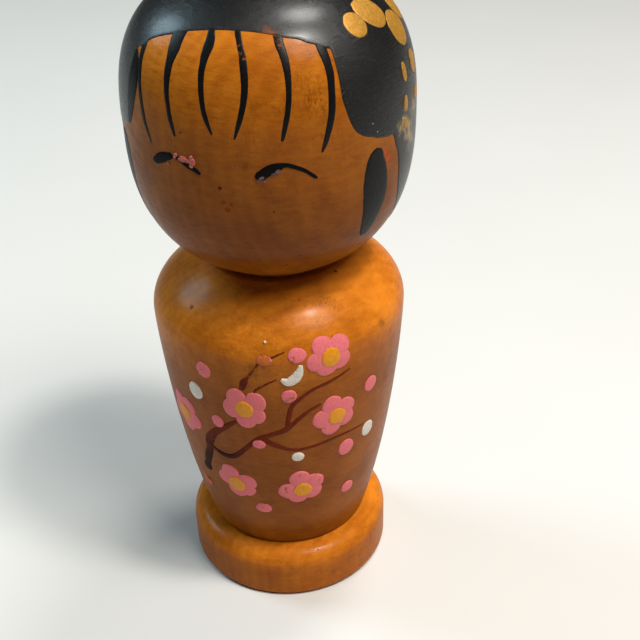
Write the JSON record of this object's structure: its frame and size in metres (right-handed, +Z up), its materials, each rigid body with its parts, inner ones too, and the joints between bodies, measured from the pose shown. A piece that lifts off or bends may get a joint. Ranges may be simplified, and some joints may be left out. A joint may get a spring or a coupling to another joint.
{
  "type": "wooden doll",
  "caption": "Small turned and varnished wooden doll on a round base, with a turning head, black painted hair, a plain face and a plum-blossom spray.",
  "frame": {"origin": "centre of the base's flat underside, on the doll's axis of turning", "axes": "+Z up along the doll's axis; the face looks along -Y; +X is to the right seen from the front"},
  "size_m": [0.0358, 0.0355, 0.0863],
  "materials": {
    "body_wood": "amber varnish over fine upright grain, faint turning lines, small dents",
    "head_wood": "amber varnish over fine upright grain, lighter on the cheeks",
    "peg_wood": "bare turned wood, unvarnished",
    "hair_black": "black lacquer with faint brush lines and worn edges",
    "face_black": "thick black enamel in brush strokes",
    "mouth_red": "dark red enamel",
    "petal_pink": "thick chalky pink enamel, brushed, chipped in places",
    "centre_yellow": "thick ochre enamel",
    "bud_white": "thick off-white enamel",
    "branch_brown": "dark red-brown brushed enamel",
    "gold": "gold paint with a fine metallic grain"
  },
  "bodies": {
    "torso": {"base": "body_wood", "body": "body_wood", "branch": "branch_brown", "twig_1": "branch_brown", "twig_2": "branch_brown", "blossom_1": "petal_pink", "blossom_2": "petal_pink", "blossom_3": "petal_pink", "blossom_4": "petal_pink", "blossom_5": "petal_pink", "blossom_6": "petal_pink", "blossom_centre_1": "centre_yellow", "blossom_centre_2": "centre_yellow", "blossom_centre_3": "centre_yellow", "blossom_centre_4": "centre_yellow", "blossom_centre_5": "centre_yellow", "blossom_centre_6": "centre_yellow", "pink_bud_1": "petal_pink", "pink_bud_2": "petal_pink", "pink_bud_3": "petal_pink", "pink_bud_4": "petal_pink", "pink_bud_5": "petal_pink", "pink_bud_6": "petal_pink", "pink_bud_7": "petal_pink", "pink_bud_8": "petal_pink", "pink_bud_9": "petal_pink", "pink_bud_10": "petal_pink", "white_bud_1": "bud_white", "white_bud_2": "bud_white", "white_bud_3": "bud_white", "white_bud_4": "bud_white"},
    "turning_head": {"head": "head_wood", "neck_peg": "peg_wood", "hair": "hair_black", "side_lock_left": "hair_black", "side_lock_right": "hair_black", "eye_left": "face_black", "eye_right": "face_black", "mouth": "mouth_red", "nose": "mouth_red", "gold_blossom": "gold", "gold_dot_1": "gold", "gold_dot_2": "gold", "gold_dot_3": "gold", "gold_dot_4": "gold", "gold_dot_5": "gold", "gold_dot_6": "gold"}
  },
  "joints": [
    {"name": "head_turn", "type": "hinge", "parent": "torso", "child": "turning_head", "pos_m": [0, 0, 0.0501], "axis": [0, 0, 1], "continuous": true}
  ]
}
